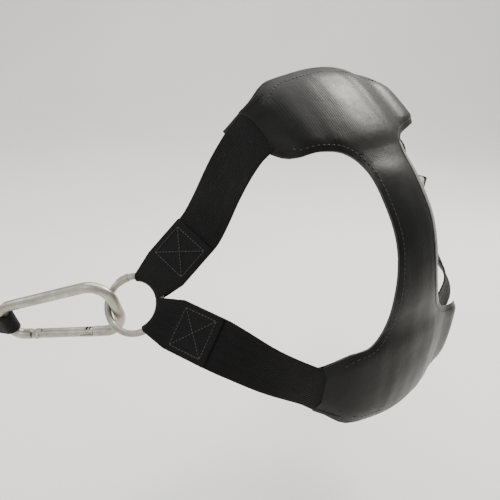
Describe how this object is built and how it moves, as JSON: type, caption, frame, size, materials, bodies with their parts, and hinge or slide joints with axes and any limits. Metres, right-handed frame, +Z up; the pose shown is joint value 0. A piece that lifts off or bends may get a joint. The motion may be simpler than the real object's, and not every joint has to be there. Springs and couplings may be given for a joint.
{
  "type": "motorcycle rear wheel tie-down harness",
  "caption": "Black coated-fabric cover that lies over a motorcycle's rear tyre, with webbing straps, a steel ring, a snap hook and a lashing sling on each side.",
  "frame": {"origin": "centre of the wheel that the harness is worn on", "axes": "+X to the rear of the motorcycle, +Y to its right-hand side, along the axle, +Z up"},
  "size_m": [0.4583, 0.906, 0.386],
  "materials": {
    "coated_fabric": "satin",
    "webbing": "satin",
    "thread": "matte",
    "zinc_steel": "satin",
    "spring_steel": "bright"
  },
  "bodies": {
    "harness": {"inner_liner": "coated_fabric", "outer_panel": "coated_fabric", "upper_webbing": "webbing", "lower_webbing": "webbing", "left_upper_loop_stitches": "thread", "left_lower_loop_stitches": "thread", "right_upper_loop_stitches": "thread", "right_lower_loop_stitches": "thread"},
    "left_ring": {"left_ring": "zinc_steel"},
    "left_hook": {"left_hook_body": "zinc_steel", "left_gate_rivet": "zinc_steel"},
    "left_gate": {"left_hook_gate": "zinc_steel", "left_latch_pin": "zinc_steel", "left_gate_spring": "spring_steel"},
    "left_plunger": {"left_gate_plunger": "spring_steel"},
    "left_sling": {"left_lashing_sling": "webbing", "left_sling_stitches": "thread"},
    "right_ring": {"right_ring": "zinc_steel"},
    "right_hook": {"right_hook_body": "zinc_steel", "right_gate_rivet": "zinc_steel"},
    "right_gate": {"right_hook_gate": "zinc_steel", "right_latch_pin": "zinc_steel", "right_gate_spring": "spring_steel"},
    "right_plunger": {"right_gate_plunger": "spring_steel"},
    "right_sling": {"right_lashing_sling": "webbing", "right_sling_stitches": "thread"}
  },
  "joints": [
    {"name": "left_ring_turn", "type": "hinge", "parent": "harness", "child": "left_ring", "pos_m": [0.07591, -0.22, 0.02116], "axis": [-0.4334, 0.711, -0.5537], "range_deg": [-35, 12]},
    {"name": "left_hook_swing", "type": "hinge", "parent": "left_ring", "child": "left_hook", "pos_m": [0.05038, -0.24123, 0.01388], "axis": [-0.498, 0.3231, 0.8047], "range_deg": [-30, 30]},
    {"name": "left_gate_opening", "type": "hinge", "parent": "left_hook", "child": "left_gate", "pos_m": [-0.02799, -0.29887, -0.03211], "axis": [0.6601, -0.7159, -0.2276], "range_deg": [0, 32], "stiffness_Nm_per_rad": 0.8, "springref_deg": -20.05},
    {"name": "left_plunger_travel", "type": "slide", "parent": "left_gate", "child": "left_plunger", "axis": [0.7481, 0.6538, 0.1133], "range_m": [0, 0.00195]},
    {"name": "left_sling_swing", "type": "hinge", "parent": "left_hook", "child": "left_sling", "pos_m": [-0.05042, -0.32504, -0.01485], "axis": [-0.0111, -0.3122, 0.9499], "range_deg": [-50, 50]},
    {"name": "right_ring_turn", "type": "hinge", "parent": "harness", "child": "right_ring", "pos_m": [0.12529, 0.2665, 0.0448], "axis": [-0.6305, -0.453, -0.6303], "range_deg": [-12, 35]},
    {"name": "right_hook_swing", "type": "hinge", "parent": "right_ring", "child": "right_hook", "pos_m": [0.10789, 0.29551, 0.04136], "axis": [-0.5836, -0.2587, 0.7697], "range_deg": [-30, 30]},
    {"name": "right_gate_opening", "type": "hinge", "parent": "right_hook", "child": "right_gate", "pos_m": [0.05237, 0.38077, 0.00635], "axis": [-0.8556, -0.4954, 0.1502], "range_deg": [0, 32], "stiffness_Nm_per_rad": 0.8, "springref_deg": -20.05},
    {"name": "right_plunger_travel", "type": "slide", "parent": "right_gate", "child": "right_plunger", "axis": [0.5007, -0.8656, -0.0024], "range_m": [0, 0.00195]},
    {"name": "right_sling_swing", "type": "hinge", "parent": "right_hook", "child": "right_sling", "pos_m": [0.03921, 0.41, 0.02777], "axis": [0.078, 0.1635, 0.9835], "range_deg": [-50, 50]}
  ],
  "couplings": [
    {"joint": "left_plunger_travel", "follows": "left_gate_opening", "m_per_rad": 0.0034},
    {"joint": "right_plunger_travel", "follows": "right_gate_opening", "m_per_rad": 0.0034}
  ]
}
